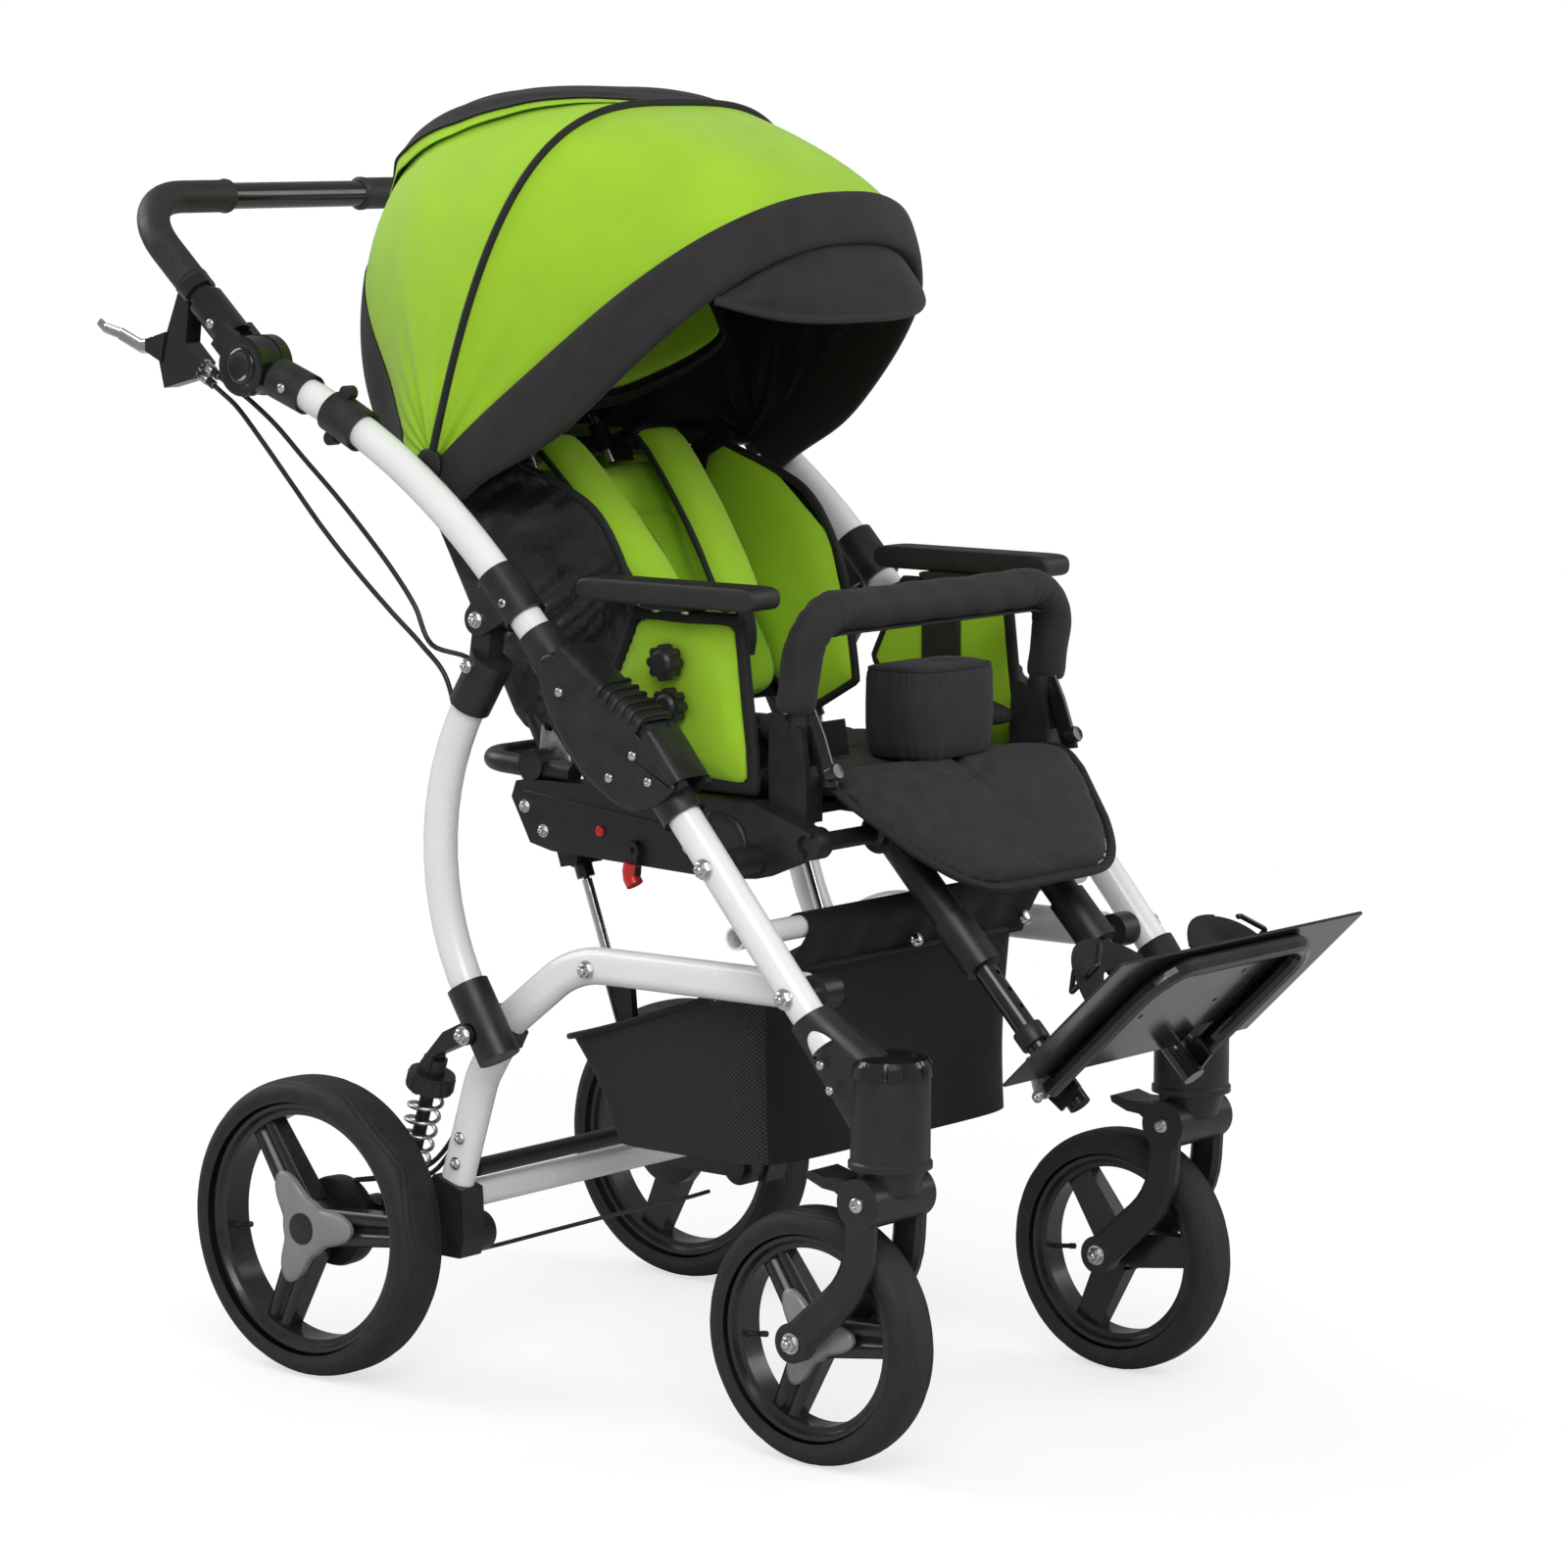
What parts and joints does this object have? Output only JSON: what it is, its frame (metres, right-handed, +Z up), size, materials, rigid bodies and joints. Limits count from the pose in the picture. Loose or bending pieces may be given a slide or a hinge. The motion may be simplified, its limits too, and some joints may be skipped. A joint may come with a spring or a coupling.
{
  "type": "special needs buggy",
  "caption": "Folding special needs buggy with tilting padded seat, reclining back, sun canopy, swivel casters, sprung rear wheels, push handle, basket and footrest.",
  "frame": {"origin": "on the floor under the middle of the whole buggy's bounding box", "axes": "+X to the child's left, +Y to the rear, +Z up"},
  "size_m": [0.6312, 1.2249, 1.2638],
  "materials": {
    "white_paint": "gloss",
    "black_plastic": "satin",
    "zinc": "zinc plated",
    "black_rubber": "matt",
    "gloss_black": "gloss",
    "black_tube": "satin",
    "grip_cover": "grained",
    "black_cloth": "woven",
    "charcoal_cloth": "twill",
    "lime_cloth": "woven",
    "red_plastic": "gloss"
  },
  "bodies": {
    "front_frame": {"front_tubes": "white_paint", "fold_housings": "black_plastic", "caster_housings": "black_plastic", "frame_bolts": "zinc"},
    "upper_frame": {"upper_tubes": "white_paint", "upper_fittings": "black_plastic", "brake_cables": "black_rubber"},
    "fold_release": {"fold_sliders": "black_plastic"},
    "push_handle": {"handle_bar": "gloss_black", "handle_grips": "grip_cover", "handle_hinges": "gloss_black", "brake_bracket": "gloss_black"},
    "hand_brake": {"brake_lever": "zinc"},
    "handle_button_left": {"hinge_button_left": "gloss_black"},
    "handle_button_right": {"hinge_button_right": "gloss_black"},
    "rear_leg": {"rear_legs": "white_paint", "leg_end_caps": "black_plastic"},
    "lower_frame": {"rear_frame": "white_paint", "rear_brackets": "black_plastic", "suspension_springs": "zinc", "basket": "black_cloth"},
    "suspension_left": {"swing_arm_left": "black_plastic"},
    "suspension_right": {"swing_arm_right": "black_plastic"},
    "rear_wheel_left": {"rear_rim_left": "black_plastic", "rear_tyre_left": "black_rubber"},
    "rear_wheel_right": {"rear_rim_right": "black_plastic", "rear_tyre_right": "black_rubber"},
    "caster_left": {"fork_left": "black_plastic"},
    "caster_right": {"fork_right": "black_plastic"},
    "caster_lock_left": {"lock_lever_left": "black_plastic"},
    "caster_lock_right": {"lock_lever_right": "black_plastic"},
    "front_wheel_left": {"front_rim_left": "black_plastic", "front_tyre_left": "black_rubber"},
    "front_wheel_right": {"front_rim_right": "black_plastic", "front_tyre_right": "black_rubber"},
    "seat_carrier": {"tilt_trunnions": "zinc"},
    "seat": {"seat_rails": "black_plastic", "seat_cushion": "charcoal_cloth", "side_panels": "lime_cloth"},
    "seat_pommel": {"pommel": "charcoal_cloth"},
    "tilt_handle": {"tilt_lever": "red_plastic"},
    "upper_knobs": {"star_knobs_upper": "black_plastic"},
    "lower_knobs": {"star_knobs_lower": "black_plastic"},
    "bumper": {"bumper_bar": "charcoal_cloth"},
    "arm_support_left": {"armrest_left": "black_plastic"},
    "arm_support_right": {"armrest_right": "black_plastic"},
    "strut_lower": {"strut_barrels": "gloss_black"},
    "strut_middle": {"strut_rods": "zinc"},
    "strut_upper": {"strut_forks": "black_plastic"},
    "backrest": {"back_frame": "black_tube", "back_cushion": "lime_cloth", "canopy_rear": "lime_cloth"},
    "head_support": {"headrest": "lime_cloth"},
    "canopy_middle": {"canopy_mid": "lime_cloth"},
    "canopy_fore": {"canopy_front": "lime_cloth"},
    "legrest": {"legrest_hangers": "black_plastic", "calf_pad": "charcoal_cloth"},
    "legrest_extension": {"legrest_tubes": "gloss_black"},
    "footrest": {"footplate": "gloss_black", "foot_straps": "black_cloth"}
  },
  "joints": [
    {"name": "frame_fold", "type": "hinge", "parent": "front_frame", "child": "upper_frame", "pos_m": [0, -0.108, 0.662], "axis": [1, 0, 0], "range_deg": [0, 12]},
    {"name": "lower_arm_turn", "type": "hinge", "parent": "front_frame", "child": "lower_frame", "pos_m": [0, -0.297, 0.444], "axis": [1, 0, 0], "range_deg": [0, 6]},
    {"name": "rear_leg_turn", "type": "hinge", "parent": "upper_frame", "child": "rear_leg", "pos_m": [0, 0.08, 0.769], "axis": [1, 0, 0], "range_deg": [-8, 0], "deforming": ["brake_cables"]},
    {"name": "fold_release_slide", "type": "slide", "parent": "upper_frame", "child": "fold_release", "axis": [0, 0.8977, 0.4405], "range_m": [0, 0.012]},
    {"name": "handle_tilt", "type": "hinge", "parent": "upper_frame", "child": "push_handle", "pos_m": [0, 0.39, 1], "axis": [1, 0, 0], "range_deg": [-45, 60], "deforming": ["brake_cables"]},
    {"name": "brake_squeeze", "type": "hinge", "parent": "push_handle", "child": "hand_brake", "pos_m": [0, 0.528, 1.016], "axis": [1, 0, 0], "range_deg": [0, 14], "stiffness_Nm_per_rad": 3, "springref_deg": -4.58},
    {"name": "button_left_press", "type": "slide", "parent": "push_handle", "child": "handle_button_left", "axis": [-1, 0, 0], "range_m": [0, 0.0035], "stiffness_N_per_m": 800, "springref_m": -0.001},
    {"name": "button_right_press", "type": "slide", "parent": "push_handle", "child": "handle_button_right", "axis": [1, 0, 0], "range_m": [0, 0.0035], "stiffness_N_per_m": 800, "springref_m": -0.001},
    {"name": "suspension_left_swing", "type": "hinge", "parent": "lower_frame", "child": "suspension_left", "pos_m": [0, 0.165, 0.15], "axis": [1, 0, 0], "range_deg": [0, 7], "stiffness_Nm_per_rad": 110, "springref_deg": -11.46, "deforming": ["suspension_springs"]},
    {"name": "rear_wheel_left_spin", "type": "hinge", "parent": "suspension_left", "child": "rear_wheel_left", "pos_m": [0.286, 0.305, 0.15], "axis": [1, 0, 0], "continuous": true},
    {"name": "caster_left_swivel", "type": "hinge", "parent": "front_frame", "child": "caster_left", "pos_m": [0.24, -0.382, 0.3], "axis": [0, 0, 1], "continuous": true},
    {"name": "caster_lock_left_turn", "type": "hinge", "parent": "caster_left", "child": "caster_lock_left", "pos_m": [0.24, -0.344, 0.271], "axis": [1, 0, 0], "range_deg": [-12, 0]},
    {"name": "front_wheel_left_spin", "type": "hinge", "parent": "caster_left", "child": "front_wheel_left", "pos_m": [0.24, -0.3, 0.1215], "axis": [1, 0, 0], "continuous": true},
    {"name": "armrest_left_height", "type": "slide", "parent": "seat", "child": "arm_support_left", "axis": [0, 0, 1], "range_m": [0, 0.06]},
    {"name": "suspension_right_swing", "type": "hinge", "parent": "lower_frame", "child": "suspension_right", "pos_m": [0, 0.165, 0.15], "axis": [1, 0, 0], "range_deg": [0, 7], "stiffness_Nm_per_rad": 110, "springref_deg": -11.46, "deforming": ["suspension_springs"]},
    {"name": "rear_wheel_right_spin", "type": "hinge", "parent": "suspension_right", "child": "rear_wheel_right", "pos_m": [-0.286, 0.305, 0.15], "axis": [1, 0, 0], "continuous": true},
    {"name": "caster_right_swivel", "type": "hinge", "parent": "front_frame", "child": "caster_right", "pos_m": [-0.24, -0.382, 0.3], "axis": [0, 0, 1], "continuous": true},
    {"name": "caster_lock_right_turn", "type": "hinge", "parent": "caster_right", "child": "caster_lock_right", "pos_m": [-0.24, -0.344, 0.271], "axis": [1, 0, 0], "range_deg": [-12, 0]},
    {"name": "front_wheel_right_spin", "type": "hinge", "parent": "caster_right", "child": "front_wheel_right", "pos_m": [-0.24, -0.3, 0.1215], "axis": [1, 0, 0], "continuous": true},
    {"name": "armrest_right_height", "type": "slide", "parent": "seat", "child": "arm_support_right", "axis": [0, 0, 1], "range_m": [0, 0.06]},
    {"name": "seat_carrier_turn", "type": "hinge", "parent": "front_frame", "child": "seat_carrier", "pos_m": [0, -0.201, 0.555], "axis": [1, 0, 0], "range_deg": [0, 13]},
    {"name": "seat_tilt", "type": "hinge", "parent": "seat_carrier", "child": "seat", "pos_m": [0, -0.201, 0.555], "axis": [1, 0, 0], "range_deg": [-15, 0]},
    {"name": "strut_swing", "type": "hinge", "parent": "lower_frame", "child": "strut_lower", "pos_m": [0, -0.033, 0.275], "axis": [1, 0, 0], "range_deg": [-3, 0]},
    {"name": "strut_stroke", "type": "slide", "parent": "strut_lower", "child": "strut_middle", "axis": [0, 0.3467, 0.938], "range_m": [-0.072, 0]},
    {"name": "strut_reach", "type": "slide", "parent": "strut_middle", "child": "strut_upper", "axis": [0, 0.3467, 0.938], "range_m": [0, 0.026]},
    {"name": "pommel_depth", "type": "slide", "parent": "seat", "child": "seat_pommel", "axis": [0, 1, 0], "range_m": [-0.02, 0]},
    {"name": "tilt_release", "type": "hinge", "parent": "seat", "child": "tilt_handle", "pos_m": [0, -0.056, 0.552], "axis": [1, 0, 0], "range_deg": [0, 18], "stiffness_Nm_per_rad": 0.4, "springref_deg": -5.73},
    {"name": "upper_knobs_turn", "type": "hinge", "parent": "seat", "child": "upper_knobs", "pos_m": [0, -0.1, 0.735], "axis": [1, 0, 0], "continuous": true},
    {"name": "lower_knobs_turn", "type": "hinge", "parent": "seat", "child": "lower_knobs", "pos_m": [0, -0.105, 0.694], "axis": [1, 0, 0], "continuous": true},
    {"name": "bumper_swing", "type": "hinge", "parent": "seat", "child": "bumper", "pos_m": [0, -0.23, 0.665], "axis": [1, 0, 0], "range_deg": [0, 70]},
    {"name": "back_recline", "type": "hinge", "parent": "seat", "child": "backrest", "pos_m": [0, 0.08, 0.622], "axis": [1, 0, 0], "range_deg": [-30, 0]},
    {"name": "headrest_height", "type": "slide", "parent": "backrest", "child": "head_support", "axis": [0, 0.4939, 0.8695], "range_m": [0, 0.05]},
    {"name": "canopy_turn", "type": "hinge", "parent": "backrest", "child": "canopy_middle", "pos_m": [0, 0.18, 0.91], "axis": [1, 0, 0], "range_deg": [-35, 0]},
    {"name": "canopy_fold", "type": "hinge", "parent": "canopy_middle", "child": "canopy_fore", "pos_m": [0, 0.18, 0.91], "axis": [1, 0, 0], "range_deg": [-35, 0]},
    {"name": "legrest_angle", "type": "hinge", "parent": "seat", "child": "legrest", "pos_m": [0, -0.262, 0.575], "axis": [1, 0, 0], "range_deg": [-25, 6]},
    {"name": "legrest_length", "type": "slide", "parent": "legrest", "child": "legrest_extension", "axis": [0, -0.6921, -0.7218], "range_m": [0, 0.04]},
    {"name": "footplate_flip", "type": "hinge", "parent": "legrest_extension", "child": "footrest", "pos_m": [0, -0.47587, 0.35198], "axis": [1, 0, 0], "range_deg": [-35, 0]}
  ],
  "couplings": [
    {"joint": "lower_arm_turn", "follows": "frame_fold", "ratio": 0.474},
    {"joint": "rear_leg_turn", "follows": "frame_fold", "ratio": -0.618},
    {"joint": "seat_carrier_turn", "follows": "frame_fold", "ratio": 1},
    {"joint": "strut_reach", "follows": "frame_fold", "m_per_rad": 0.113},
    {"joint": "strut_swing", "follows": "seat_tilt", "ratio": 0.178},
    {"joint": "strut_stroke", "follows": "seat_tilt", "m_per_rad": 0.26},
    {"joint": "canopy_turn", "follows": "canopy_fold", "ratio": 1}
  ]
}
